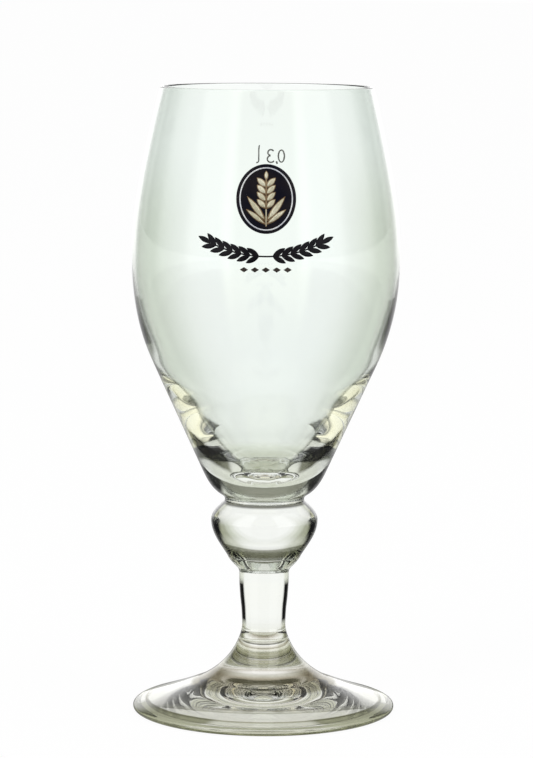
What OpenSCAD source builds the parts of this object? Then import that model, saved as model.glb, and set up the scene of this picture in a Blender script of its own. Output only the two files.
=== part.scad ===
// Stemmed chalice beer glass. A thin egg-shaped bowl with a thick base stands
// on a knopped stem and a flared foot, and the three are fused at flat welds.
// Fired enamel prints lie on the front of the bowl.
// Millimetres, +Z up. The foot stands on z = 0, the axis of turning is Z, and
// the prints face -Y. Heights in a piece are measured from its own lower weld.

/* [Bowl outside] */
// Height of the bowl from its weld to the rim
bowl_h = 122.6; // [116:0.2:140]
// Outer diameter of the rim
rim_d = 62.8; // [58:0.2:68]
// Inward lean of the wall under the rim, in degrees
rim_lean = 12.6; // [9:0.1:14]
// Height of the straight wall under the rim
rim_straight_h = 11; // [7:0.2:18]
// Outer diameter of the belly
belly_d = 79.2; // [76:0.2:84]
// Height of the belly
belly_h = 71; // [66:0.2:75]
// Outer diameter at the top of the lower cone
cone_top_d = 66.4; // [64:0.2:69]
// Height of the top of the lower cone
cone_top_h = 41; // [39:0.2:44]
// Outward lean of the lower cone, in degrees
cone_lean = 24.7; // [22:0.1:26]
// Height where the round shoulder runs into the cone
shoulder_h = 8.8; // [7:0.1:11]
// Diameter where the round shoulder starts
shoulder_d = 26.6; // [25:0.1:28]
// Height where the round shoulder starts
shoulder_start_h = 2; // [1.6:0.1:3]
// Outward lean where the round shoulder starts, in degrees
shoulder_lean = 57; // [50:1:62]

/* [Bowl inside] */
// Wall thickness at the lip
lip_wall = 1.15; // [0.9:0.05:1.6]
// Wall thickness at the belly
belly_wall = 1; // [0.8:0.05:1.6]
// Wall thickness at the top of the lower cone
cone_wall = 2.1; // [1.6:0.05:2.5]
// Wall thickness where the base starts to thicken
base_wall = 3.6; // [3:0.1:4.2]
// Height where the base starts to thicken
base_wall_h = 30.4; // [28:0.2:33]
// Thickness of solid glass under the deepest point
base_thick = 8; // [7:0.1:10]
// Diameter of the round bottom of the hollow
hollow_bottom_d = 22; // [20:0.2:26]
// Height of the round bottom's edge over its deepest point
hollow_bottom_rise = 3.6; // [3:0.1:5]
// Outward lean of the hollow at the round bottom's edge, in degrees
hollow_bottom_lean = 42; // [38:1:47]

/* [Stem] */
// Height of the stem from the weld on the foot to the weld under the bowl
stem_h = 41.6; // [38:0.2:50]
// Diameter of the neck between bowl and knop
neck_d = 23.6; // [21:0.1:25]
// Height of the straight neck on each side of its weld
neck_h = 0.3; // [0.2:0.1:0.8]
// Diameter of the knop's upper round where it turns in
knop_top_d = 27.6; // [26:0.1:29]
// Drop under the weld of the knop's upper round where it turns in
knop_top_drop = 2.2; // [1.8:0.1:2.8]
// Largest diameter of the knop
knop_d = 31.7; // [30:0.1:36]
// Drop under the weld of the knop's widest point
knop_drop = 6.1; // [5:0.1:8]
// Diameter of the edge under the knop
collar_d = 22; // [21.2:0.1:23]
// Drop under the weld of the edge under the knop
collar_drop = 16.6; // [15.6:0.1:17.2]
// Diameter of the shoulder between the knop's edge and the column
shoulder_under_d = 19.4; // [18.6:0.1:20.4]
// Drop under the weld of that shoulder
shoulder_under_drop = 18.6; // [18.2:0.1:19.4]
// Diameter of the column at its top
column_d = 14.8; // [13:0.1:15.6]
// Drop under the weld of the column's top
column_drop = 21.9; // [21:0.1:24]
// Height of the straight land at the column's top
column_land_h = 2; // [1:0.1:4]
// Diameter at the waist of the column
waist_d = 12.9; // [11:0.1:14]
// Height of the waist
waist_h = 4.2; // [3:0.1:8]
// Diameter of the weld between stem and foot
foot_weld_d = 14.7; // [14:0.1:16]
// Inward lean of the wall at the weld between stem and foot, in degrees
foot_weld_lean = 21; // [15:1:26]

/* [Foot] */
// Height of the foot from the table to its weld
foot_h = 21.8; // [20:0.2:26]
// Outer diameter of the foot
foot_d = 78; // [72:0.5:84]
// Thickness of the foot's rounded edge
foot_edge = 2.5; // [2:0.1:3.2]
// Diameter where the flare turns up
flare_d = 22.8; // [21:0.2:25]
// Height where the flare turns up
flare_h = 15.2; // [14:0.2:17]
// Diameter of the middle of the foot's slope
slope_d = 40; // [36:0.5:44]
// Height of the middle of the foot's slope
slope_h = 8.9; // [7.8:0.1:10]
// Inset of the ring that the foot stands on from the foot's edge
rest_inset = 3; // [2:0.1:6]
// Width of the ring that the foot stands on
rest_w = 1.6; // [1:0.1:2.4]
// Rise of the hollow under the foot at the axis
kick_h = 6.2; // [5.4:0.1:7]
// Diameter of the shallow dish at the top of that hollow
dish_d = 25; // [22:0.5:28]
// Rise of the hollow at the edge of the dish
dish_h = 5; // [4.4:0.1:5.2]

/* [Enamel print] */
// Thickness of a fired enamel layer
enamel_t = 0.1; // [0.06:0.01:0.16]
// Clearance under each enamel layer
enamel_gap = 0.02; // [0.01:0.01:0.03]
// Width of the oval medallion
medallion_w = 17; // [14:0.2:20]
// Height of the oval medallion
medallion_h = 19.6; // [17:0.2:23]
// Drop of the medallion's centre under the rim
medallion_drop = 30.6; // [28:0.2:33]
// Inset of the pale ring from the medallion's edge
ring_inset = 0.9; // [0.7:0.1:1.2]
// Width of the pale ring
ring_w = 0.35; // [0.25:0.05:0.5]
// Clearance of the barley ear from the pale ring
ear_gap = 0.6; // [0.4:0.1:1.2]
// Width of an enamel stalk
stalk_w = 0.45; // [0.35:0.05:0.6]
// Radius of the arc that the leaf sprays follow
spray_r = 36; // [32:0.5:42]
// Distance from the medallion's lower edge to the sprays' lowest point
spray_gap = 6.4; // [5:0.1:8]
// Length of a leaf on the sprays
leaf_l = 4.3; // [3.6:0.1:5]
// Width of a leaf on the sprays
leaf_w = 1.5; // [1.2:0.1:1.8]
// Lean of the leaves from the spray, in degrees
leaf_lean = 30; // [24:1:38]
// Clearance of the row of lozenges from the sprays' leaf tips
row_gap = 0.9; // [0.6:0.1:2]
// Width of a lozenge
lozenge_w = 2.4; // [1.8:0.1:2.6]
// Height of a lozenge
lozenge_h = 1.5; // [1.1:0.1:1.8]
// Clearance between lozenges
lozenge_gap = 0.7; // [0.4:0.1:1.2]

/* [Hidden] */

// Turned outlines take a point each time the wall has turned this far, in
// degrees, and no closer together than the least chord
turn_step = 3;
least_chord = 0.3;
$fn = 180;
// Points of an ellipse
oval_points = 72;

// Pairs of grains in the barley ear and pairs of leaves on each spray
grain_pairs = 4;
leaf_pairs = 6;
lozenge_count = 5;
lozenge_step = lozenge_w + lozenge_gap;

// The barley ear fills an oval inside the pale ring. Its points are given as
// shares of that oval's half width and half height, from its middle.
ear_inset = ring_inset + ring_w + ear_gap;
ear_foot_share = -0.98;
ear_tip_shares = [0, 1];
grain_first_share = -0.34;
grain_step_share = 0.25;
grain_reach_shares = [0.4, 0.34];
blade_first_share = -0.92;
blade_step_share = 0.1;
blade_tip_shares = [[0.86, -0.36], [0.82, 0.1]];
// How far grains and blades start across the middle of the stalk
root_across_share = 0.02;
// Width of a grain and of a blade against its own length
grain_wide_share = 0.44;
blade_wide_share = 0.2;

spray_drop = medallion_drop + medallion_h / 2 + spray_gap;
lozenge_drop = spray_drop + leaf_l * sin(leaf_lean) + row_gap + lozenge_h / 2;
// Angles along the sprays' arc, from the middle
leaf_first_angle = 3;
leaf_step_angle = 4;
spray_angle = 26;

bowl_z = foot_h + stem_h;
rim_z = bowl_z + bowl_h;
rim_r = rim_d / 2;
belly_r = belly_d / 2;
neck_r = neck_d / 2;
lip_r = lip_wall / 2;
rest_r = foot_d / 2 - rest_inset;
cone_top_r = cone_top_d / 2;
base_wall_r = cone_top_r - (cone_top_h - base_wall_h) * tan(cone_lean);
shoulder_r = cone_top_r - (cone_top_h - shoulder_h) * tan(cone_lean);
rim_straight_r = rim_r + rim_straight_h * tan(rim_lean);
hollow_edge_h = base_thick + hollow_bottom_rise;
// The hollow leans out more than the cone where its wall starts to thicken
base_inner_lean = (cone_lean + hollow_bottom_lean) / 2;

// Print layers lie on each other, each on its own clearance
ground_lift = enamel_gap;
motif_lift = enamel_gap + enamel_t + enamel_gap;

// A station is [radius, height, lean]. The lean is the direction of the wall,
// in degrees from straight up, positive outwards.
bowl_shoulder = [
    [neck_r, 0, 0],
    [neck_r, neck_h, 0],
    [shoulder_d / 2, shoulder_start_h, shoulder_lean],
    [shoulder_r, shoulder_h, cone_lean]
];
bowl_upper = [
    [cone_top_r, cone_top_h, cone_lean],
    [belly_r, belly_h, 0],
    [rim_straight_r, bowl_h - rim_straight_h, -rim_lean],
    [rim_r, bowl_h - lip_r, -rim_lean]
];
bowl_outer = concat(bowl_shoulder, bowl_upper);
bowl_inner = [
    [0, base_thick, 90],
    [hollow_bottom_d / 2, hollow_edge_h, hollow_bottom_lean],
    [base_wall_r - base_wall, base_wall_h, base_inner_lean],
    [cone_top_r - cone_wall, cone_top_h, cone_lean],
    [belly_r - belly_wall, belly_h, 0],
    [rim_straight_r - lip_wall, bowl_h - rim_straight_h, -rim_lean],
    [rim_r - lip_wall, bowl_h - lip_r, -rim_lean]
];
bowl_lip = [
    [rim_r, bowl_h - lip_r, -rim_lean],
    [rim_r - lip_r, bowl_h, -90],
    [rim_r - lip_wall, bowl_h - lip_r, -180 - rim_lean]
];
column_outer = [
    [foot_weld_d / 2, 0, -foot_weld_lean],
    [waist_d / 2, waist_h, 0],
    [column_d / 2, stem_h - column_drop - column_land_h, 0],
    [column_d / 2, stem_h - column_drop, 0],
    [shoulder_under_d / 2, stem_h - shoulder_under_drop, 38],
    [collar_d / 2, stem_h - collar_drop, 18]
];
knop_outer = [
    [collar_d / 2, stem_h - collar_drop, 32],
    [knop_d / 2, stem_h - knop_drop, 0],
    [knop_top_d / 2, stem_h - knop_top_drop, -44],
    [neck_r, stem_h - neck_h, -40],
    [neck_r, stem_h, 0]
];
foot_dish = [
    [0, kick_h, 90],
    [dish_d / 2, dish_h, 112]
];
foot_under = [
    [dish_d / 2, dish_h, 98],
    [rest_r - rest_w, 0, 102]
];
foot_outer = [
    [rest_r, 0, 90],
    [foot_d / 2, foot_edge / 2, 0],
    [foot_d / 2 - foot_edge / 2, foot_edge, -70],
    [slope_d / 2, slope_h, -65],
    [flare_d / 2, flare_h, -42],
    [foot_weld_d / 2, foot_h, -foot_weld_lean]
];

function heading(lean) = [sin(lean), cos(lean)];
function foot_of(station) = [station[0], station[1]];
function bend(a, b) =
    let (d = foot_of(b) - foot_of(a), chord = atan2(d[0], d[1]))
    abs(chord - a[2]) + abs(b[2] - chord);

// A cubic from station a to station b, without b itself. A plain turn comes
// out as a round arc.
function span(a, b) =
    let (
        n = max(1, min(ceil(bend(a, b) / turn_step), ceil(norm(foot_of(b) - foot_of(a)) / least_chord))),
        p = foot_of(a),
        q = foot_of(b),
        reach = norm(q - p) / cos((b[2] - a[2]) / 4) ^ 2,
        s = reach * heading(a[2]),
        t = reach * heading(b[2])
    )
    [for (i = [0:n - 1])
        let (u = i / n)
        (2 * u ^ 3 - 3 * u ^ 2 + 1) * p + (u ^ 3 - 2 * u ^ 2 + u) * s
            + (3 * u ^ 2 - 2 * u ^ 3) * q + (u ^ 3 - u ^ 2) * t
    ];

function wall(stations) = [
    for (k = [0:len(stations) - 2]) each span(stations[k], stations[k + 1]),
    foot_of(stations[len(stations) - 1])
];
function reversed(points) = [for (i = [len(points) - 1:-1:0]) points[i]];
function without_last(points) = [for (i = [0:len(points) - 2]) points[i]];
function without_ends(points) = [for (i = [1:len(points) - 2]) points[i]];

module turned(points) {
    rotate_extrude()
        polygon(points);
}

module bowl() {
    color([0.86, 0.93, 0.90, 0.35])
        translate([0, 0, bowl_z])
            turned(concat(
                [[0, 0]],
                wall(bowl_outer),
                without_ends(wall(bowl_lip)),
                reversed(wall(bowl_inner))
            ));
}

module stem() {
    color([0.84, 0.90, 0.87, 0.45])
        translate([0, 0, foot_h])
            turned(concat([[0, 0]], without_last(wall(column_outer)), wall(knop_outer), [[0, stem_h]]));
}

module foot() {
    color([0.78, 0.80, 0.70, 0.5])
        turned(concat(
            without_last(wall(foot_dish)),
            wall(foot_under),
            wall(foot_outer),
            [[0, foot_h]]
        ));
}

// A thin layer on the outside of the bowl, cut to the outline drawn in the
// children, which is seen from the front with its origin at the rim's height.
module enamel(lift) {
    inner = [for (p = wall(bowl_upper)) p + [lift, 0]];
    outer = [for (p = wall(bowl_upper)) p + [lift + enamel_t, 0]];
    intersection() {
        translate([0, 0, bowl_z])
            turned(concat(inner, reversed(outer)));
        translate([0, 0, rim_z])
            rotate([90, 0, 0])
                linear_extrude(height = belly_d)
                    children();
    }
}

// A pointed leaf from the origin towards +Y, between two arcs
module lens(length, width) {
    r = (length ^ 2 + width ^ 2) / (4 * width);
    translate([0, length / 2])
        intersection() {
            translate([r - width / 2, 0])
                circle(r);
            translate([width / 2 - r, 0])
                circle(r);
        }
}

// An upright oval about the medallion's centre, drawn in by an inset
module oval(inset) {
    translate([0, -medallion_drop])
        polygon([for (i = [0:oval_points - 1])
            let (a = 360 * i / oval_points)
            [(medallion_w / 2 - inset) * cos(a), (medallion_h / 2 - inset) * sin(a)]
        ]);
}

module medallion() {
    color([0.10, 0.11, 0.16])
        enamel(ground_lift)
            oval(0);
}

module medallion_ring() {
    color([0.74, 0.75, 0.73])
        enamel(motif_lift)
            difference() {
                oval(ring_inset);
                oval(ring_inset + ring_w);
            }
}

function ear_point(shares) = [
    shares[0] * (medallion_w / 2 - ear_inset),
    shares[1] * (medallion_h / 2 - ear_inset)
];

// A pointed leaf from one point of the ear to another
module ear_leaf(from, to, wide_share) {
    way = ear_point(to) - ear_point(from);
    translate(ear_point(from))
        rotate(-atan2(way[0], way[1]))
            lens(norm(way), wide_share * norm(way));
}

// Pairs of grains on both sides of a stalk, with one more at the tip and long
// blades from the stalk's foot
module barley_ear() {
    top_share = grain_first_share + grain_pairs * grain_step_share;
    stalk_foot = ear_point([0, ear_foot_share]);
    stalk_top = ear_point([0, top_share]);
    color([0.80, 0.79, 0.68])
        enamel(motif_lift)
            translate([0, -medallion_drop]) {
                translate(stalk_foot - [stalk_w / 2, 0])
                    square([stalk_w, stalk_top[1] - stalk_foot[1] + stalk_w]);
                ear_leaf([0, top_share], ear_tip_shares, grain_wide_share);
                for (side = [-1, 1]) {
                    for (k = [0:grain_pairs - 1]) {
                        root = [-side * root_across_share, grain_first_share + k * grain_step_share];
                        tip = [side * grain_reach_shares[0], root[1] + grain_reach_shares[1]];
                        ear_leaf(root, tip, grain_wide_share);
                    }
                    for (k = [0:len(blade_tip_shares) - 1]) {
                        root = [-side * root_across_share, blade_first_share + k * blade_step_share];
                        tip = [side * blade_tip_shares[k][0], blade_tip_shares[k][1]];
                        ear_leaf(root, tip, blade_wide_share);
                    }
                }
            }
}

// Places what is drawn towards +Y at an angle along the sprays' arc, heading
// to the tip
module on_spray(angle) {
    translate([0, spray_r - spray_drop])
        rotate(angle)
            translate([0, -spray_r])
                rotate(-90)
                    children();
}

// One leafy spray from the middle to the right
module spray() {
    translate([0, spray_r - spray_drop])
        intersection() {
            difference() {
                circle(spray_r + stalk_w / 2);
                circle(spray_r - stalk_w / 2);
            }
            polygon([
                [0, 0],
                [0, -2 * spray_r],
                [2 * spray_r * sin(spray_angle), -2 * spray_r * cos(spray_angle)]
            ]);
        }
    on_spray(spray_angle)
        translate([0, -stalk_w])
            lens(leaf_l, leaf_w);
    for (k = [0:leaf_pairs - 1], side = [-1, 1])
        on_spray(leaf_first_angle + k * leaf_step_angle)
            rotate(side * leaf_lean)
                lens(leaf_l, leaf_w);
}

module leaf_sprays() {
    color([0.09, 0.10, 0.13])
        enamel(ground_lift)
            for (side = [0, 1])
                mirror([side, 0])
                    spray();
}

module lozenge_row() {
    color([0.30, 0.29, 0.27])
        enamel(ground_lift)
            for (k = [0:lozenge_count - 1])
                translate([(k - (lozenge_count - 1) / 2) * lozenge_step, -lozenge_drop])
                    polygon([
                        [-lozenge_w / 2, 0],
                        [0, -lozenge_h / 2],
                        [lozenge_w / 2, 0],
                        [0, lozenge_h / 2]
                    ]);
}

bowl();
stem();
foot();
medallion();
medallion_ring();
barley_ear();
leaf_sprays();
lozenge_row();
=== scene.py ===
import math

import bmesh
import bpy
import numpy as np
from mathutils import Matrix, Vector, geometry


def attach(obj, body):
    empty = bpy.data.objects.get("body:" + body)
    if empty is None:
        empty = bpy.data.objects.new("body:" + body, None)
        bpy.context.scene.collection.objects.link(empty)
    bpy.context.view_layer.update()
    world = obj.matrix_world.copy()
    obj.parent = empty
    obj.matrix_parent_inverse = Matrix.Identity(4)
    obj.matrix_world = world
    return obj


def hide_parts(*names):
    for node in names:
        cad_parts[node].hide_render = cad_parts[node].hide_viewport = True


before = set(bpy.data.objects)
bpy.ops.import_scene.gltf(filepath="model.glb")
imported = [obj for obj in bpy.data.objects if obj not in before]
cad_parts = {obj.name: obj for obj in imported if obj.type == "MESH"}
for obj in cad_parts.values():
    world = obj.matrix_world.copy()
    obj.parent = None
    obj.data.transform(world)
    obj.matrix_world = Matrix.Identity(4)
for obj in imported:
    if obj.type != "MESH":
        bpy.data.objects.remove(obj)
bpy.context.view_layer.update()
bpy.context.scene.view_settings.view_transform = "Standard"

MM = 0.001
BODY = "root"

# Light runs many times to and fro inside solid glass before it comes out.
LIGHT_BOUNCES = 32

# The camera stands in front of the glass, a little above its rim, as in the photograph.
CAMERA_DISTANCE = 974.4 * MM
CAMERA_HEIGHT = 217.8 * MM
CAMERA_SIDE = 0.39 * MM
CAMERA_PITCH = math.radians(6.924)
CAMERA_ROLL = math.radians(0.34)
CAMERA_LENS = 157.19
CAMERA_SENSOR = 36.0
CAMERA_REACH = 100.0

# Light levels, where 1 is white
BACKGROUND = 1.0
AMBIENT = 0.72
FLOOR_COLOUR = 0.93
FLOOR_GLOW_SHARE = 0.955
FLOOR_REACH = 30.0

# Lamps: name, place and power. They are alike in size and point at the glass.
LAMPS = (("key", (-1.2, -1.4, 1.6), 18), ("fill", (1.4, -0.9, 1.3), 10))
LAMP_SIZE = (1.0, 1.4)
LAMP_AIM = Vector((0, 0, 0.1))

# Fineness of the turned meshes
LATHE_SEGMENTS = 192
TURN_STEP = math.radians(2.5)
LONGEST_STEP = 1.5 * MM
FOOT_STEP = 0.4 * MM
# A stretch this many times longer than its neighbour is straight.
LONG_STRETCH = 3.0
# Two stretches make one where the sine of the angle between them is smaller.
STRAIGHT = 1e-3
# What is nearer than this lies on the seam or on the axis.
ON_SEAM = 1e-7
ON_AXIS = 1e-9
# Points alike to this many digits of a metre are one point.
DIGITS = 8

GLASS_IOR = 1.517


def make_camera():
    """The photograph's view. The camera looks along +Y and down."""
    data = bpy.data.cameras.new("camera")
    data.sensor_width = CAMERA_SENSOR
    data.lens = CAMERA_LENS
    data.clip_end = CAMERA_REACH
    camera = bpy.data.objects.new("camera", data)
    bpy.context.scene.collection.objects.link(camera)
    camera.location = (CAMERA_SIDE, -CAMERA_DISTANCE, CAMERA_HEIGHT)
    pitch = Matrix.Rotation(math.pi / 2 - CAMERA_PITCH, 4, "X")
    roll = Matrix.Rotation(CAMERA_ROLL, 4, "Z")
    camera.rotation_euler = (pitch @ roll).to_euler()
    bpy.context.scene.camera = camera


# Node helpers

def new_tree(holder):
    holder.use_nodes = True
    tree = holder.node_tree
    tree.nodes.clear()
    return tree


def add(tree, kind, **settings):
    node = tree.nodes.new(kind)
    for key, value in settings.items():
        setattr(node, key, value)
    return node


def feed(tree, socket, source):
    """Sets a socket to a number or colour, or links another socket to it."""
    if isinstance(source, bpy.types.NodeSocket):
        tree.links.new(source, socket)
    else:
        socket.default_value = source


def finish_tree(tree, shader, kind="ShaderNodeOutputMaterial"):
    feed(tree, add(tree, kind).inputs["Surface"], shader.outputs[0])


def maths(tree, operation, first, second=0.0, third=0.0):
    node = add(tree, "ShaderNodeMath", operation=operation)
    feed(tree, node.inputs[0], first)
    feed(tree, node.inputs[1], second)
    feed(tree, node.inputs[2], third)
    return node.outputs[0]


def grey(level):
    return (level, level, level, 1.0)


def ramp(tree, value, stops):
    """A smooth grey or colour ramp. A stop is (place, level) or (place, (r, g, b))."""
    node = add(tree, "ShaderNodeValToRGB")
    node.color_ramp.interpolation = "EASE"
    elements = node.color_ramp.elements
    while len(elements) < len(stops):
        elements.new(0.5)
    for element, (place, level) in zip(elements, stops):
        element.position = place
        element.color = (*level, 1.0) if isinstance(level, tuple) else grey(level)
    feed(tree, node.inputs[0], value)
    return node.outputs["Color"]


def mix(tree, share, first, second, **settings):
    node = add(tree, "ShaderNodeMix", data_type="RGBA", **settings)
    feed(tree, node.inputs[0], share)
    feed(tree, node.inputs[6], first)
    feed(tree, node.inputs[7], second)
    return node.outputs[2]


def times(tree, first, second):
    return mix(tree, 1.0, first, second, blend_type="MULTIPLY")


def soft_step(tree, value, middle, soft):
    """Rises smoothly from 0 to 1 within the softness on both sides of the middle."""
    node = add(tree, "ShaderNodeMapRange", interpolation_type="SMOOTHSTEP")
    feed(tree, node.inputs["Value"], value)
    node.inputs["From Min"].default_value = middle - soft
    node.inputs["From Max"].default_value = middle + soft
    return node.outputs[0]


def coordinates(tree, kind="Object"):
    """x, y and z of the point, or of the direction in a world."""
    parts = add(tree, "ShaderNodeSeparateXYZ")
    feed(tree, parts.inputs[0], add(tree, "ShaderNodeTexCoord").outputs[kind])
    return parts.outputs


def axis_distance(tree, x, y):
    return maths(tree, "SQRT", maths(tree, "ADD", maths(tree, "MULTIPLY", x, x), maths(tree, "MULTIPLY", y, y)))


def side_angle(tree, x, y):
    """The angle from the camera's side, 0 to pi."""
    return maths(tree, "ABSOLUTE", maths(tree, "ARCTAN2", x, maths(tree, "MULTIPLY", y, -1.0)))


def noise(tree, scale, detail=2.0):
    node = add(tree, "ShaderNodeTexNoise")
    feed(tree, node.inputs["Vector"], add(tree, "ShaderNodeTexCoord").outputs["Object"])
    node.inputs["Scale"].default_value = scale
    node.inputs["Detail"].default_value = detail
    return node.outputs["Fac"]


# World and floor

# What passes through glass sees these walls, by height (0.5 level, 1 straight up): a
# warm bright room around the camera, side walls with dark gaps, and a white backdrop
# behind with a grey top, all under a bright ceiling.
ROOM = [
    (0.5, (1.25, 1.22, 1.02)), (0.62, (1.25, 1.20, 0.94)), (0.74, (0.62, 0.60, 0.50)),
    (0.85, 0.35), (0.93, 0.75), (1.0, 0.85),
]
DARK = [(0.5, 0.03), (0.7, 0.01), (0.86, 0.01), (0.91, 0.40), (0.95, 0.8), (1.0, 0.85)]
PALE = [(0.5, 0.10), (0.62, 0.05)] + DARK[1:]
BACK = [
    (0.5, 1.0), (0.66, 1.0), (0.70, 0.85), (0.72, (0.30, 0.30, 0.26)),
    (0.90, (0.26, 0.26, 0.22)), (0.96, 0.75), (1.0, 0.85),
]
# Where each wall starts, in degrees from the camera's side, and how softly
WALLS = ((0, ROOM), (40, DARK), (61, PALE), (98, DARK), (132, BACK))
WALL_SOFT = math.radians(5)

# What the gloss sees, by the angle from the camera's side as a share of the half turn:
# bright panels beside the camera, weaker side walls and the backdrop
GLOSS = [
    (0.0, 0.40), (0.13, 0.40), (0.19, 2.0), (0.36, 2.0), (0.43, 0.70), (0.55, 0.90),
    (0.63, 0.12), (0.76, 0.12), (0.87, 1.5),
]
# The same from high up, over the top of the backdrop, and the height where it sets in
GLOSS_HIGH = GLOSS[:-1] + [(0.87, 0.25)]
HIGH_START = 0.69
HIGH_SOFT = 0.05
# The floor shows this share of it up to the near distance, and all of it far away.
FLOOR_GLOSS = 0.28
FLOOR_NEAR = 0.25
FLOOR_FAR = 2.5


def make_world():
    """White to the camera. Gloss, and what passes through glass, see a studio."""
    world = bpy.data.worlds.new("studio")
    bpy.context.scene.world = world
    tree = new_tree(world)
    x, y, z = coordinates(tree, "Generated")
    side = side_angle(tree, x, y)
    height = maths(tree, "MULTIPLY_ADD", z, 0.5, 0.5)
    through = ramp(tree, height, WALLS[0][1])
    for start, wall in WALLS[1:]:
        step = soft_step(tree, side, math.radians(start), WALL_SOFT)
        through = mix(tree, step, through, ramp(tree, height, wall))
    turn = maths(tree, "DIVIDE", side, math.pi)
    high = soft_step(tree, height, HIGH_START, HIGH_SOFT)
    gloss = mix(tree, high, ramp(tree, turn, GLOSS), ramp(tree, turn, GLOSS_HIGH))
    path = add(tree, "ShaderNodeLightPath").outputs
    seen = mix(tree, path["Is Glossy Ray"], grey(AMBIENT), gloss)
    seen = mix(tree, path["Is Transmission Ray"], seen, through)
    seen = mix(tree, path["Is Camera Ray"], seen, grey(BACKGROUND))
    light = add(tree, "ShaderNodeBackground")
    feed(tree, light.inputs["Color"], seen)
    finish_tree(tree, light, "ShaderNodeOutputWorld")


def floor_material():
    """Pale and plain under the lamps. To the camera and through glass it glows almost
    white, and keeps a faint shadow. The gloss sees the studio's panels on it."""
    material = bpy.data.materials.new("floor")
    tree = new_tree(material)
    path = add(tree, "ShaderNodeLightPath").outputs
    seen = maths(tree, "ADD", path["Is Camera Ray"], path["Is Transmission Ray"])
    seen = maths(tree, "MINIMUM", maths(tree, "ADD", seen, path["Is Glossy Ray"]), 1.0)
    # A ray that passes through glass counts as glossy too, so that is taken off.
    straight = maths(tree, "SUBTRACT", 1.0, path["Is Transmission Ray"])
    mirrored = maths(tree, "MULTIPLY", path["Is Glossy Ray"], straight)
    x, y, _ = coordinates(tree)
    far = maths(tree, "DIVIDE", axis_distance(tree, x, y), FLOOR_FAR)
    level = ramp(tree, far, [(FLOOR_NEAR / FLOOR_FAR, FLOOR_GLOSS), (1.0, 1.0)])
    turn = maths(tree, "DIVIDE", side_angle(tree, x, y), math.pi)
    gloss = times(tree, ramp(tree, turn, GLOSS), level)
    plain = add(tree, "ShaderNodeBsdfDiffuse")
    plain.inputs["Color"].default_value = grey(FLOOR_COLOUR)
    glow = add(tree, "ShaderNodeEmission")
    feed(tree, glow.inputs["Color"], mix(tree, mirrored, grey(BACKGROUND), gloss))
    both = add(tree, "ShaderNodeMixShader")
    feed(tree, both.inputs[0], maths(tree, "MULTIPLY", seen, FLOOR_GLOW_SHARE))
    feed(tree, both.inputs[1], plain.outputs[0])
    feed(tree, both.inputs[2], glow.outputs[0])
    finish_tree(tree, both)
    return material


def make_floor():
    mesh = bpy.data.meshes.new("floor")
    corners = [(x * FLOOR_REACH, y * FLOOR_REACH, 0) for x, y in ((-1, -1), (1, -1), (1, 1), (-1, 1))]
    mesh.from_pydata(corners, [], [(0, 1, 2, 3)])
    mesh.materials.append(floor_material())
    floor = bpy.data.objects.new("floor", mesh)
    bpy.context.scene.collection.objects.link(floor)


def make_lamp(name, place, power):
    data = bpy.data.lights.new(name, "AREA")
    data.shape = "RECTANGLE"
    data.size, data.size_y = LAMP_SIZE
    data.energy = power
    lamp = bpy.data.objects.new(name, data)
    bpy.context.scene.collection.objects.link(lamp)
    lamp.location = place
    aim = LAMP_AIM - Vector(place)
    lamp.rotation_euler = aim.to_track_quat("-Z", "Y").to_euler()
    lamp.visible_glossy = False
    lamp.visible_transmission = False


# Turned glass

def seam_profile(node):
    """The outline (radius, height) of a turned CAD node, walked along its seam in the
    half plane y = 0. Points inside straight stretches are dropped."""
    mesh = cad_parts[node].data
    key = {}
    for vertex in mesh.vertices:
        x, y, z = vertex.co
        if abs(y) < ON_SEAM and x > -ON_SEAM:
            key[vertex.index] = (round(max(x, 0.0), DIGITS), round(z, DIGITS))
    steps = {}
    for edge in mesh.edges:
        a, b = edge.vertices
        if a in key and b in key and key[a] != key[b]:
            steps.setdefault(key[a], set()).add(key[b])
            steps.setdefault(key[b], set()).add(key[a])
    ends = sorted((p for p in steps if len(steps[p]) == 1), key=lambda p: p[1])
    walk = [ends[0]]
    last = None
    while True:
        onward = [p for p in steps[walk[-1]] if p != last]
        if not onward:
            break
        last = walk[-1]
        walk.append(onward[0])
    points = np.array(walk)
    kept = [points[0]]
    for i in range(1, len(points) - 1):
        a = points[i] - kept[-1]
        b = points[i + 1] - points[i]
        cross = a[0] * b[1] - a[1] * b[0]
        if abs(cross) > STRAIGHT * np.linalg.norm(a) * np.linalg.norm(b):
            kept.append(points[i])
    kept.append(points[-1])
    return np.array(kept)


def end_tangent(points, i):
    """The direction of the outline at point i. It is level at the axis, follows a long
    straight stretch, and is that of a round arc elsewhere."""
    if points[i][0] < ON_AXIS:
        return np.array([1.0 if i == 0 else -1.0, 0.0])
    before = points[i] - points[i - 1] if i > 0 else None
    after = points[i + 1] - points[i] if i < len(points) - 1 else None
    if before is None:
        return after / np.linalg.norm(after)
    if after is None:
        return before / np.linalg.norm(before)
    b, a = np.linalg.norm(before), np.linalg.norm(after)
    if a > LONG_STRETCH * b:
        return after / a
    if b > LONG_STRETCH * a:
        return before / b
    way = before / b * a + after / a * b
    return way / np.linalg.norm(way)


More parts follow.
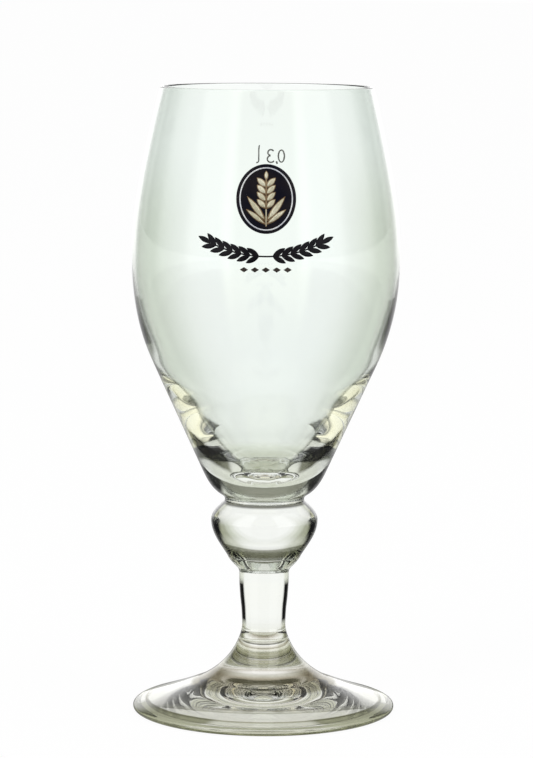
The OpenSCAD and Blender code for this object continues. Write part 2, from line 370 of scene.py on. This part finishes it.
def smooth_profile(points, longest=LONGEST_STEP):
    """The outline again in small steps, on cubic curves through its points."""
    ways = [end_tangent(points, i) for i in range(len(points))]
    fine = []
    for i in range(len(points) - 1):
        p, q = points[i], points[i + 1]
        s, t = ways[i], ways[i + 1]
        turn = math.acos(max(-1.0, min(1.0, float(np.dot(s, t)))))
        length = np.linalg.norm(q - p)
        # With this reach the cubic follows a round arc.
        reach = length / math.cos(turn / 4) ** 2
        count = max(1, math.ceil(turn / TURN_STEP), math.ceil(length / longest))
        for k in range(count):
            u = k / count
            fine.append(
                (2 * u**3 - 3 * u**2 + 1) * p + (u**3 - 2 * u**2 + u) * reach * s
                + (3 * u**2 - 2 * u**3) * q + (u**3 - u**2) * reach * t
            )
    fine.append(points[-1])
    fine = np.array(fine)
    # A curve may swing past a corner, so it is held between the lowest and highest point.
    fine[:, 1] = np.clip(fine[:, 1], points[:, 1].min(), points[:, 1].max())
    return fine


def finish_mesh(name, mesh_data, materials):
    mesh = bpy.data.meshes.new(name)
    mesh_data.to_mesh(mesh)
    mesh_data.free()
    for material in materials:
        mesh.materials.append(material)
    piece = bpy.data.objects.new(name, mesh)
    bpy.context.scene.collection.objects.link(piece)
    return piece


# Hand-made glass isn't perfectly round. Each wave is (count in the round, phase, share).
DISH_WAVES = ((7, 0.7, 1.0), (11, 2.1, 0.5), (3, 4.0, 0.4))
HOLLOW_WAVES = ((6, 1.3, 1.0), (11, 0.4, 0.7))
# The tool mark under the foot: where it lies, its half width and the waves' height
DISH_ROOM = (30 * MM, 6.5 * MM)
DISH_MARK = (10.6 * MM, 3 * MM)
DISH_WAVE = 0.012 * MM
# The bottom of the bowl's hollow, likewise
HOLLOW_ROOM = (14 * MM, 70 * MM)
HOLLOW_MARK = (6 * MM, 6 * MM)
HOLLOW_WAVE = 0.05 * MM
# The bowl's wall waves most at one height. The phase shifts with height and radius.
WALL_MARK = (125 * MM, 55 * MM)
WALL_WAVE = 0.025 * MM
WALL_SHIFT = (60, 800)
WALL_COUNTS = (3, 7)
WALL_PHASE = 1.9
WALL_SHARE = 0.5


def hump(value, middle, half_width):
    """1 at the middle, smoothly down to 0 at the half width on both sides."""
    t = min(1.0, abs(value - middle) / half_width)
    return (1 - t * t) ** 2


def waves(parts, turn):
    return sum(share * math.sin(count * turn + phase) for count, phase, share in parts)


def ripple(name, radius, height, turn):
    """Slight waves (outwards, upwards) under the foot, at the bottom of the hollow and
    along the bowl's wall."""
    if name == "foot_glass" and radius < DISH_ROOM[0] and height < DISH_ROOM[1]:
        return 0.0, hump(radius, *DISH_MARK) * DISH_WAVE * waves(DISH_WAVES, turn)
    if name != "bowl_glass":
        return 0.0, 0.0
    if radius < HOLLOW_ROOM[0] and height > HOLLOW_ROOM[1]:
        return 0.0, hump(radius, *HOLLOW_MARK) * HOLLOW_WAVE * waves(HOLLOW_WAVES, turn)
    # The inner and the outer side wave a little apart, and only inwards.
    phase = height * WALL_SHIFT[0] + radius * WALL_SHIFT[1]
    slow, fast = WALL_COUNTS
    wave = math.sin(slow * turn + phase) + WALL_SHARE * math.sin(fast * turn + WALL_PHASE - phase)
    return hump(height, *WALL_MARK) * WALL_WAVE * (wave - 1.0 - WALL_SHARE), 0.0


def lathe(name, skin, glass_look, weld_look):
    """Turns an outline round Z. An open end away from the axis is closed with a flat
    weld face."""
    grid = bmesh.new()
    rings = []
    turns = [2 * math.pi * k / LATHE_SEGMENTS for k in range(LATHE_SEGMENTS)]
    for radius, height in skin:
        if radius < ON_AXIS:
            rings.append([grid.verts.new((0, 0, height))])
            continue
        ring = []
        for a in turns:
            out, up = ripple(name, radius, height, a)
            wide = radius + out
            ring.append(grid.verts.new((wide * math.cos(a), wide * math.sin(a), height + up)))
        rings.append(ring)
    for lower, upper in zip(rings, rings[1:]):
        for k in range(LATHE_SEGMENTS):
            m = (k + 1) % LATHE_SEGMENTS
            corners = [lower[k % len(lower)], lower[m % len(lower)], upper[m % len(upper)], upper[k % len(upper)]]
            face = grid.faces.new(list(dict.fromkeys(corners)))
            face.smooth = True
    for ring in (rings[0], rings[-1]):
        if len(ring) > 1:
            centre = grid.verts.new((0, 0, ring[0].co.z))
            for k in range(LATHE_SEGMENTS):
                face = grid.faces.new((centre, ring[k], ring[(k + 1) % LATHE_SEGMENTS]))
                face.material_index = 1
    bmesh.ops.recalc_face_normals(grid, faces=grid.faces[:])
    return finish_mesh(name, grid, (glass_look, weld_look))


# Glass

# How coarsely the tint drifts between its two colours
DRIFT_SCALE = 18.0
# A patch of painted shade climbs by this share where the wall turns away, has uneven edges, and fades within the
# last number.
PATCH_SLOPE = 0.13
PATCH_NOISE = 220.0
PATCH_UNEVEN = 0.016
PATCH_SOFT = 0.007


def painted_shade_zone(tree, body, zone, value, stops):
    """Tints the body with painted shade by a ramp over a value, as far as the zone goes (0 to 1)."""
    return times(tree, body, mix(tree, zone, grey(1.0), ramp(tree, value, stops)))


def patch_zone(tree, share, facing, radius, low, high, least_radius):
    """A strip of painted shade on the outer wall, between two shares of the height."""
    slope = maths(tree, "MULTIPLY", maths(tree, "SUBTRACT", 0.5, facing), PATCH_SLOPE)
    uneven = maths(tree, "MULTIPLY", noise(tree, PATCH_NOISE), PATCH_UNEVEN)
    place = maths(tree, "ADD", maths(tree, "ADD", share, slope), uneven)
    outside = maths(tree, "GREATER_THAN", radius, least_radius)
    above = soft_step(tree, place, low, PATCH_SOFT)
    below = maths(tree, "SUBTRACT", 1.0, soft_step(tree, place, high, PATCH_SOFT))
    return maths(tree, "MULTIPLY", maths(tree, "MULTIPLY", outside, above), below)


def glass_material(name, tint, shade, painted_shade_by_place, edges, painted_shade_rings=(), line=None, patch=None, bands=None):
    """Clear glass. Its tint drifts a little over the surface. It is darkened by painted shade in bands by height or
    by radius, with the olive tint of thick glass in them, and by painted shade where the surface turns away: both
    stand in for dark surroundings seen through the glass. It takes further painted shade from the rings, line, patch
    and bands told above GLASS_LOOKS."""
    material = bpy.data.materials.new(name)
    tree = new_tree(material)
    x, y, z = coordinates(tree)
    facing = add(tree, "ShaderNodeLayerWeight").outputs["Facing"]
    # Painted shade in bands by height or by radius, with the olive tint of thick glass in them
    measure, low, high, stops = painted_shade_by_place
    place = axis_distance(tree, x, y) if measure == "radius" else z
    share = maths(tree, "DIVIDE", maths(tree, "SUBTRACT", place, low), high - low)
    drift = ramp(tree, noise(tree, DRIFT_SCALE), [(0.3, tint), (0.7, shade)])
    body = times(tree, drift, ramp(tree, share, stops))
    # Painted shade in rings on what lies low
    for top, rings in painted_shade_rings:
        body = painted_shade_zone(tree, body, maths(tree, "LESS_THAN", z, top), share, rings)
    # Painted shade: the thin dark line on surfaces seen from inside the glass
    if line:
        limit, look = line
        inside = add(tree, "ShaderNodeNewGeometry").outputs["Backfacing"]
        zone = maths(tree, "MULTIPLY", inside, maths(tree, "LESS_THAN", share, limit))
        body = painted_shade_zone(tree, body, zone, facing, look)
    # Painted shade in rings where the surface turns away
    if bands:
        middle, soft, rings = bands
        body = painted_shade_zone(tree, body, soft_step(tree, facing, middle, soft), share, rings)
    # Painted shade in a strip of the outer wall
    if patch:
        *strip, look = patch
        zone = patch_zone(tree, share, facing, axis_distance(tree, x, y), *strip)
        body = painted_shade_zone(tree, body, zone, facing, look)
    # Painted shade where the surface turns away: dark outlines in place of the dark surroundings seen through the
    # glass
    edge = ramp(tree, facing, edges[0])
    for middle, soft, look in edges[1:]:
        edge = mix(tree, soft_step(tree, share, middle, soft), edge, ramp(tree, facing, look))
    shader = add(tree, "ShaderNodeBsdfPrincipled")
    feed(tree, shader.inputs["Base Color"], times(tree, body, edge))
    shader.inputs["Roughness"].default_value = 0.0
    shader.inputs["IOR"].default_value = GLASS_IOR
    shader.inputs["Transmission Weight"].default_value = 1.0
    finish_tree(tree, shader)
    return material


def weld_material():
    """The fused face between two pieces: glass to glass, so light passes straight on."""
    material = bpy.data.materials.new("weld")
    tree = new_tree(material)
    finish_tree(tree, add(tree, "ShaderNodeBsdfTransparent"))
    return material


# Painted shade on the turned-away surface, in place of the dark surroundings seen through the glass at its outline,
# as stops of (how far it is turned away, tint). A ray inside the glass leaves it only up to about 0.25, and is
# mirrored beyond. So a look that starts above 0.26 tints only rays that enter from outside.
BASE_EDGE = [(0.10, 1.0), (0.60, (0.86, 0.86, 0.82)), (0.85, (0.40, 0.40, 0.36)), (0.97, 0.10)]
WALL_EDGE = [(0.08, 1.0), (0.50, (0.76, 0.79, 0.72)), (0.72, (0.74, 0.76, 0.70)), (0.97, (0.36, 0.38, 0.34))]
LIP_EDGE = [(0.22, 1.0), (0.52, (0.90, 0.92, 0.90)), (0.72, (0.80, 0.83, 0.80)), (0.97, (0.42, 0.44, 0.42))]
DARK_EDGE = [(0.38, 1.0), (0.49, 0.0), (0.80, 0.0), (0.95, 0.3)]
SOFT_EDGE = [(0.35, 1.0), (0.50, (0.72, 0.74, 0.62)), (0.80, (0.60, 0.62, 0.50)), (0.97, 0.4)]
COLLAR_EDGE = [
    (0.25, 1.0), (0.40, (0.60, 0.62, 0.50)), (0.58, (0.40, 0.41, 0.29)),
    (0.70, (0.16, 0.16, 0.11)), (0.97, (0.16, 0.16, 0.11)),
]
KNOP_EDGE = [
    (0.12, 1.0), (0.17, (0.84, 0.85, 0.82)), (0.225, (0.62, 0.64, 0.55)), (0.30, (0.40, 0.43, 0.32)),
    (0.383, (0.20, 0.21, 0.13)), (0.50, (0.19, 0.20, 0.11)), (0.545, 0.0), (0.74, 0.0), (0.97, 0.3),
]
NECK_EDGE = [(0.50, 1.0), (0.64, (0.50, 0.52, 0.42)), (0.72, 0.0), (0.85, 0.0), (0.97, 0.6)]
FLARE_EDGE = [(0.2, 1.0), (0.97, (0.35, 0.35, 0.26))]
FLAT_EDGE = [
    (0.30, (0.80, 0.80, 0.73)), (0.55, (0.94, 0.94, 0.90)), (0.68, 1.0), (0.97, 1.0),
    (0.995, (0.60, 0.60, 0.50)),
]
FOOT_RIM_EDGE = [
    (0.505, 1.0), (0.52, (0.20, 0.205, 0.12)), (0.66, (0.16, 0.165, 0.09)),
    (0.745, (0.14, 0.145, 0.08)), (0.785, 1.0),
]
FOOT_LIP_EDGE = [(0.12, 1.0), (0.26, (0.36, 0.37, 0.24)), (0.45, (0.28, 0.29, 0.18)), (0.97, (0.20, 0.21, 0.13))]

# tint, shade: the two colours that the glass drifts between
# painted_shade_by_place: what it is measured by, from where to where, and stops of
#     (share, tint). These bands are painted shade, with the olive tint of thick glass in them.
# edges: painted shade on the turned-away surface, and others that start further on, as
#     (share of the height or radius, softness, look)
# painted_shade_rings: rings of painted shade on what lies low, as (top, stops by share)
# line: painted shade on surfaces seen from inside the glass, up to a share. It paints the
#     thin dark outline of the hollow.
# bands: rings of painted shade where the surface turns away, as (from how far, softness,
#     stops by share)
# patch: painted shade between two shares, outside a radius
GLASS_LOOKS = {
    "bowl": dict(
        tint=(0.965, 1.0, 0.990), shade=(0.970, 0.997, 0.984),
        painted_shade_by_place=("height", 63 * MM, 186 * MM, [
            (0.006, 1.0), (0.014, (0.62, 0.63, 0.50)), (0.05, (0.70, 0.71, 0.60)),
            (0.08, (0.93, 0.93, 0.90)), (0.25, (1.0, 1.0, 0.99)),
        ]),
        edges=(BASE_EDGE, (0.26, 0.08, WALL_EDGE), (0.76, 0.12, LIP_EDGE)),
        patch=(0.120, 0.166, 16 * MM, [
            (0.262, 1.0), (0.31, (0.10, 0.10, 0.07)), (0.42, (0.02, 0.02, 0.01)),
            (0.64, (0.01, 0.01, 0.01)), (0.72, (0.12, 0.12, 0.08)), (0.77, 1.0),
        ]),
        line=(0.5, [(0.228, 1.0), (0.242, (0.10, 0.11, 0.08)), (0.2546, 0.0)]),
    ),
    "stem": dict(
        tint=(0.975, 0.995, 0.980), shade=(0.965, 0.985, 0.965),
        painted_shade_by_place=("height", 21 * MM, 64 * MM, [
            (0.0, (0.90, 0.90, 0.84)), (0.2, (0.98, 0.98, 0.96)), (0.59, (0.98, 0.98, 0.95)),
            (0.625, (0.12, 0.12, 0.06)), (0.655, (0.25, 0.26, 0.16)), (0.68, (0.98, 0.98, 0.96)),
            (0.955, (0.98, 0.98, 0.96)), (0.97, (0.05, 0.05, 0.04)),
        ]),
        edges=(
            SOFT_EDGE, (0.13, 0.03, DARK_EDGE), (0.43, 0.03, SOFT_EDGE), (0.55, 0.03, COLLAR_EDGE),
            (0.74, 0.05, KNOP_EDGE), (0.88, 0.05, NECK_EDGE),
        ),
    ),
    "foot": dict(
        tint=(0.985, 0.985, 0.980), shade=(0.970, 0.975, 0.965),
        painted_shade_by_place=("radius", 0.0, 39 * MM, [
            (0.0, (0.20, 0.19, 0.13)), (0.20, (1.0, 1.0, 0.93)), (0.215, (0.80, 0.80, 0.68)),
            (0.232, (0.32, 0.32, 0.23)), (0.25, (0.28, 0.28, 0.19)), (0.262, (0.44, 0.44, 0.35)),
            (0.28, (0.38, 0.38, 0.31)), (0.30, (0.55, 0.55, 0.48)), (0.32, 1.0), (0.345, 1.0),
            (0.37, (0.90, 0.87, 0.78)), (0.53, (0.90, 0.87, 0.78)), (0.575, 1.0),
            (0.70, (1.0, 1.0, 0.99)), (0.80, (0.88, 0.88, 0.85)), (0.882, (0.88, 0.88, 0.85)),
            (0.892, (0.24, 0.24, 0.15)), (0.902, (0.24, 0.24, 0.15)), (0.914, (0.76, 0.77, 0.66)),
            (1.0, (0.72, 0.73, 0.60)),
        ]),
        edges=(
            FLARE_EDGE, (0.5, 0.1, FLAT_EDGE), (0.885, 0.006, FOOT_RIM_EDGE), (0.97, 0.004, FOOT_LIP_EDGE),
        ),
        bands=(0.15, 0.07, [
            (0.19, (0.70, 0.72, 0.60)), (0.206, (0.80, 0.82, 0.72)), (0.226, (0.55, 0.55, 0.43)),
            (0.246, (0.30, 0.30, 0.21)), (0.265, (0.28, 0.28, 0.22)), (0.285, (0.75, 0.75, 0.67)),
            (0.30, (0.75, 0.75, 0.69)), (0.320, 1.0), (0.336, 1.0), (0.352, (0.46, 0.45, 0.37)),
            (0.383, (0.22, 0.19, 0.13)), (0.42, (0.33, 0.30, 0.23)), (0.455, (0.56, 0.52, 0.44)),
            (0.495, (0.42, 0.39, 0.32)), (0.535, (0.34, 0.33, 0.27)), (0.572, 1.0),
        ]),
        painted_shade_rings=(
            (7 * MM, [
                (0.0, (0.30, 0.24, 0.18)), (0.10, (0.42, 0.36, 0.28)), (0.20, 1.0), (0.275, 1.0),
                (0.295, (0.06, 0.06, 0.05)), (0.32, (0.06, 0.06, 0.05)), (0.34, 1.0), (0.42, 1.0),
                (0.445, (0.22, 0.22, 0.18)), (0.47, 1.0),
            ]),
            (1.2 * MM, [
                (0.87, 1.0), (0.885, (0.66, 0.67, 0.56)), (0.96, (0.62, 0.63, 0.52)),
                (1.0, (0.55, 0.56, 0.44)),
            ]),
        ),
    ),
}

SKINS = {
    "bowl": smooth_profile(seam_profile("bowl")),
    "stem": smooth_profile(seam_profile("stem")),
    "foot": smooth_profile(seam_profile("foot"), FOOT_STEP),
}
# The outside of the bowl, from its weld up to the rim
BOWL_WALL = SKINS["bowl"][: int(np.argmax(SKINS["bowl"][:, 1])) + 1]


def make_glass():
    weld = weld_material()
    for node, look in GLASS_LOOKS.items():
        piece = lathe(node + "_glass", SKINS[node], glass_material(node + "_glass", **look), weld)
        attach(piece, BODY)
        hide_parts(node)


# Enamel prints

RIM_HEIGHT = max(v.co.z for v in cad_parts["bowl"].data.vertices)
# Layers over the glass: from where to where, each clear of the one under it
GROUND_LAYER = (0.03 * MM, 0.10 * MM)
LINE_LAYER = (0.12 * MM, 0.17 * MM)
GOLD_LAYER = (0.19 * MM, 0.23 * MM)
# Fineness of a print's mesh and of its outline, and a slight stagger of the grid's rows
# and columns that keeps the grid off the outlines' own points
FILM_STEP = 0.8 * MM
OUTLINE_STEP = 0.25 * MM
STAGGER = (0.137, 0.071)
# Points of a print this near, in millimetres, are one.
SAME_POINT = 1e-5

# The emblem: the pale ring's width, and from its edge to the field of the barley ear
RING_WIDTH = 0.35 * MM
FIELD_MARGIN = 0.95 * MM
# The ear, in shares of the field's half width and half height. Widths of grains and
# blades are shares of their length.
STALK = 0.45 * MM
EAR_FOOT, EAR_NECK, EAR_TOP = -0.98, 0.66, 1.0
GRAIN_PAIRS = 4
GRAIN_LOW, GRAIN_STEP = -0.34, 0.25
GRAIN_OUT, GRAIN_UP = 0.4, 0.34
GRAIN_WIDE = 0.44
# Blades: height of the root, and place of the tip
BLADES = ((-0.92, 0.86, -0.36), (-0.82, 0.82, 0.1))
BLADE_WIDE = 0.2
# How far a root lies from the middle
ROOT_SIDE = 0.02
# The gold fill inside the lines: how far it stays from root and tip, as shares of the
# length, its width and its inset, and the stalk's half width and ends
FILL_ROOT, FILL_TIP = 0.10, 0.04
FILL_WIDE = 0.86
FILL_INSET = 0.10 * MM
FILL_STALK = 0.3
FILL_STALK_ENDS = (-0.95, -0.36)

# Leaf sprays: two arcs of one circle, whose lowest point lies this far under the rim.
# Angles are in degrees from that point.
SPRAY_RADIUS = 36 * MM
SPRAY_DROP = 46.8 * MM
SPRAY_START, SPRAY_SPAN, SPRAY_STEPS = -0.4, 26.4, 60
SPRAY_TIP = 26
LEAF = 4.3 * MM
LEAF_WIDE = 1.5 * MM
LEAF_PAIRS = 6
LEAF_START, LEAF_STEP = 3, 4
LEAF_TURN = math.radians(30)
LOZENGES = range(-2, 3)
LOZENGE_STEP = 3.1 * MM
LOZENGE_HALF = 1.2 * MM

# The capacity mark: its foot under the rim and its stroke
MARK_DROP = 24.2 * MM
MARK_STROKE = 0.46 * MM

# Enamel noise: clouds, and specks of the given grain and detail
CLOUD_SCALE = 160.0
SPECK_SCALE = 900.0
SPECK_DETAIL = 3.0
ENAMEL_SHINE = 0.08


def box_of(node):
    """Half width, middle height and half height of a CAD node, seen from the front."""
    points = [v.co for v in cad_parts[node].data.vertices]
    low, high = min(p.z for p in points), max(p.z for p in points)
    return max(p.x for p in points), (low + high) / 2, (high - low) / 2


def ellipse(middle, half_wide, half_high, count=220):
    turns = [2 * math.pi * k / count for k in range(count)]
    return [Vector((middle[0] + half_wide * math.cos(a), middle[1] + half_high * math.sin(a))) for a in turns]


def arc(middle, half_wide, half_high, first, last, count=18):
    turns = [math.radians(first + (last - first) * k / count) for k in range(count + 1)]
    return [(middle[0] + half_wide * math.cos(a), middle[1] + half_high * math.sin(a)) for a in turns]


def leaf(start, tip, width, inset=0.0):
    """A pointed leaf between two arcs, drawn in by an inset."""
    way = tip - start
    length = way.length
    radius = (length**2 + width**2) / (4 * width)
    offset = radius - width / 2
    radius -= inset
    half = math.acos(offset / radius)
    count = max(6, math.ceil(2 * half * radius / OUTLINE_STEP))
    along = way.normalized()
    across = Vector((-along.y, along.x))
    middle = (start + tip) / 2
    points = []
    for side in (1, -1):
        for k in range(count):
            a = half * (1 - 2 * k / count)
            points.append(middle + side * (along * -radius * math.sin(a) + across * (radius * math.cos(a) - offset)))
    return points


def stroke(line, width):
    """The outline of a brush stroke along a smooth line, with square ends."""
    left, right = [], []
    for k, point in enumerate(line):
        way = (line[min(k + 1, len(line) - 1)] - line[max(k - 1, 0)]).normalized()
        across = Vector((-way.y, way.x)) * (width / 2)
        left.append(point + across)
        right.append(point - across)
    return left + right[::-1]


def upright(low, high, half_wide, rise=0.0):
    """An upright strip from one point to a little above another."""
    aside, up = Vector((half_wide, 0)), Vector((0, rise))
    return [low - aside, low + aside, high + aside + up, high - aside + up]


def flat_print(shapes, holes=()):
    """Triangles inside the shapes and outside the holes, fine enough to be wrapped."""
    points, faces = [], []
    for outline in list(shapes) + list(holes):
        turn = sum(a.x * b.y - b.x * a.y for a, b in zip(outline, outline[1:] + outline[:1]))
        outline = outline if turn > 0 else outline[::-1]
        faces.append(list(range(len(points), len(points) + len(outline))))
        points.extend(outline)
    low_x, high_x = min(p.x for p in points), max(p.x for p in points)
    low_y, high_y = min(p.y for p in points), max(p.y for p in points)
    for i in range(1, math.ceil((high_x - low_x) / FILM_STEP)):
        for j in range(1, math.ceil((high_y - low_y) / FILM_STEP)):
            x = low_x + (i + STAGGER[0] * (j % 2)) * FILM_STEP
            points.append(Vector((x, low_y + (j + STAGGER[1]) * FILM_STEP)))
    # The routine works in metres with a coarse tolerance, so it gets millimetres.
    flat = geometry.delaunay_2d_cdt([p / MM for p in points], [], faces, 0, SAME_POINT)
    places, triangles, owners = flat[0], flat[2], flat[5]
    kept = [
        t for t, owned in zip(triangles, owners)
        if any(f < len(shapes) for f in owned) and not any(f >= len(shapes) for f in owned)
    ]
    return [p * MM for p in places], kept


def bowl_radius(height):
    return float(np.interp(height, BOWL_WALL[:, 1], BOWL_WALL[:, 0]))


def film(name, node, material, layer, shapes, holes=(), back=False):
    """Fired enamel: a flat print laid round the bowl, with the layer's thickness. It
    replaces a CAD node, where there is one."""
    places, triangles = flat_print(shapes, holes)
    grid = bmesh.new()
    face = 1.0 if back else -1.0
    sheets = []
    for lift in layer:
        sheet = {}
        for corner in sorted({c for t in triangles for c in t}):
            x, height = places[corner]
            radius = bowl_radius(height) + lift
            sheet[corner] = grid.verts.new((x, face * math.sqrt(radius**2 - x**2), height))
        sheets.append(sheet)
    inner, outer = sheets
    borders = {}
    for t in triangles:
        grid.faces.new([outer[c] for c in t]).smooth = True
        grid.faces.new([inner[c] for c in reversed(t)]).smooth = True
        for a, b in zip(t, t[1:] + t[:1]):
            if borders.pop((b, a), None) is None:
                borders[(a, b)] = True
    for a, b in borders:
        grid.faces.new((outer[b], outer[a], inner[a], inner[b]))
    bmesh.ops.recalc_face_normals(grid, faces=grid.faces[:])
    piece = finish_mesh(name, grid, (material,))
    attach(piece, BODY)
    if node:
        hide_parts(node)


def enamel_material(name, first, second, roughness, metallic=0.0):
    """Fired enamel with a faint cloudiness and fine specks."""
    material = bpy.data.materials.new(name)
    tree = new_tree(material)
    cloud = ramp(tree, noise(tree, CLOUD_SCALE), [(0.35, first), (0.65, second)])
    specks = ramp(tree, noise(tree, SPECK_SCALE, SPECK_DETAIL), [(0.3, 0.9), (0.7, 1.0)])
    shader = add(tree, "ShaderNodeBsdfPrincipled")
    feed(tree, shader.inputs["Base Color"], times(tree, cloud, specks))
    shader.inputs["Roughness"].default_value = roughness
    shader.inputs["Metallic"].default_value = metallic
    shader.inputs["Specular IOR Level"].default_value = ENAMEL_SHINE
    finish_tree(tree, shader)
    return material


def make_emblem():
    """An oval ground, a pale ring, and a barley ear with long blades."""
    dark = enamel_material("dark_enamel", (0.004, 0.004, 0.009), (0.010, 0.008, 0.010), 0.3)
    silver = enamel_material("silver_enamel", (0.50, 0.52, 0.56), (0.72, 0.73, 0.72), 0.35, 0.3)
    bronze = enamel_material("bronze_enamel", (0.16, 0.10, 0.05), (0.30, 0.22, 0.13), 0.4, 0.4)
    gold = enamel_material("gold_enamel", (0.50, 0.47, 0.33), (0.66, 0.63, 0.48), 0.35, 0.3)

    half_wide, middle, half_high = box_of("medallion")
    ground = ellipse((0, middle), half_wide, half_high)
    film("medallion_print", "medallion", dark, GROUND_LAYER, [ground])
    ring_wide, middle, ring_high = box_of("medallion_ring")
    ring = ellipse((0, middle), ring_wide, ring_high)
    gap = ellipse((0, middle), ring_wide - RING_WIDTH, ring_high - RING_WIDTH)
    film("ring_print", "medallion_ring", silver, LINE_LAYER, [ring], [gap])

    wide, high = ring_wide - FIELD_MARGIN, ring_high - FIELD_MARGIN

    def spot(x, y):
        return Vector((x * wide, middle + y * high))

    grains, blades = [(spot(0, EAR_NECK), spot(0, EAR_TOP), GRAIN_WIDE)], []
    for side in (-1, 1):
        for k in range(GRAIN_PAIRS):
            y = GRAIN_LOW + GRAIN_STEP * k
            grains.append((spot(-ROOT_SIDE * side, y), spot(GRAIN_OUT * side, y + GRAIN_UP), GRAIN_WIDE))
        for root, x, y in BLADES:
            blades.append((spot(-ROOT_SIDE * side, root), spot(x * side, y), BLADE_WIDE))
    parts = grains + blades
    lines = [leaf(a, b, share * (b - a).length) for a, b, share in parts]
    lines.append(upright(spot(0, EAR_FOOT), spot(0, EAR_NECK), STALK / 2, STALK))
    film("ear_lines", "barley_ear", bronze, LINE_LAYER, lines)
    fills = []
    for a, b, share in parts:
        way = b - a
        fills.append(leaf(a + way * FILL_ROOT, b - way * FILL_TIP, share * way.length * FILL_WIDE, FILL_INSET))
    foot, top = FILL_STALK_ENDS
    fills.append(upright(spot(0, foot), spot(0, top), STALK * FILL_STALK))
    for k, fill in enumerate(fills):
        film("ear_fill_%02d" % k, "barley_ear", gold, GOLD_LAYER, [fill])


def make_ornament():
    """Leaf sprays and a row of lozenges under the emblem."""
    dark = enamel_material("spray_enamel", (0.004, 0.004, 0.006), (0.009, 0.008, 0.010), 0.3)
    ink = enamel_material("row_enamel", (0.030, 0.024, 0.020), (0.060, 0.050, 0.042), 0.4)
    centre = Vector((0, RIM_HEIGHT - SPRAY_DROP + SPRAY_RADIUS))

    def along(side, degrees):
        a = math.radians(degrees)
        out = Vector((side * math.sin(a), -math.cos(a)))
        way = Vector((side * math.cos(a), math.sin(a)))
        return centre + out * SPRAY_RADIUS, way

    shapes = []
    for side in (-1, 1):
        steps = range(SPRAY_STEPS + 1)
        line = [along(side, SPRAY_START + SPRAY_SPAN * k / SPRAY_STEPS)[0] for k in steps]
        shapes.append(stroke(line, STALK))
        root, way = along(side, SPRAY_TIP)
        shapes.append(leaf(root - way * STALK, root + way * (LEAF - STALK), LEAF_WIDE))
        for k in range(LEAF_PAIRS):
            root, way = along(side, LEAF_START + LEAF_STEP * k)
            for turn in (-1, 1):
                aim = Matrix.Rotation(turn * LEAF_TURN, 2) @ way
                shapes.append(leaf(root, root + aim * LEAF, LEAF_WIDE))
    film("spray_print", "leaf_sprays", dark, GROUND_LAYER, shapes)
    half_wide, middle, half_high = box_of("lozenge_row")
    corners = ((-LOZENGE_HALF, 0), (0, -half_high), (LOZENGE_HALF, 0), (0, half_high))
    for number, k in enumerate(LOZENGES, 1):
        shape = [Vector((k * LOZENGE_STEP + x, middle + y)) for x, y in corners]
        film("lozenge_%d" % number, "lozenge_row", ink, GROUND_LAYER, [shape])


def make_capacity_mark():
    """A plain capacity mark on the back wall. Its parts are drawn in millimetres, as
    they read from behind, from the middle of its foot."""
    ink = enamel_material("mark_ink", (0.014, 0.012, 0.014), (0.034, 0.030, 0.034), 0.4)
    foot = RIM_HEIGHT - MARK_DROP

    def put(points):
        return [Vector((-x * MM, foot + y * MM)) for x, y in points]

    zero = put(ellipse((-4.6, 1.97), 1.18, 2.03, 40))
    hole = put(ellipse((-4.6, 1.97), 0.68, 1.62, 40))
    comma = stroke(put([(-3.1, 0.40), (-3.14, 0.1), (-3.32, -0.42)]), MARK_STROKE * 1.2)
    upper = stroke(put(arc((-1.35, 3.0), 0.95, 0.88, 150, -84)), MARK_STROKE)
    lower = stroke(put(arc((-1.35, 1.05), 1.12, 1.02, 86, -148)), MARK_STROKE)
    stem = [(2.12, 5.2), (2.34, 4.9), (2.42, 4.0), (2.42, 1.0)]
    unit = stroke(put(stem + arc((3.05, 0.70), 0.62, 0.76, 180, 285, 8)), MARK_STROKE * 0.9)
    shapes = [zero, comma, upper, lower, unit]
    film("capacity_mark", None, ink, GROUND_LAYER, shapes, [hole], back=True)


cycles = bpy.context.scene.cycles
cycles.max_bounces = LIGHT_BOUNCES
cycles.glossy_bounces = LIGHT_BOUNCES
cycles.transmission_bounces = LIGHT_BOUNCES
make_camera()
make_world()
make_floor()
for lamp in LAMPS:
    make_lamp(*lamp)
make_glass()
make_emblem()
make_ornament()
make_capacity_mark()
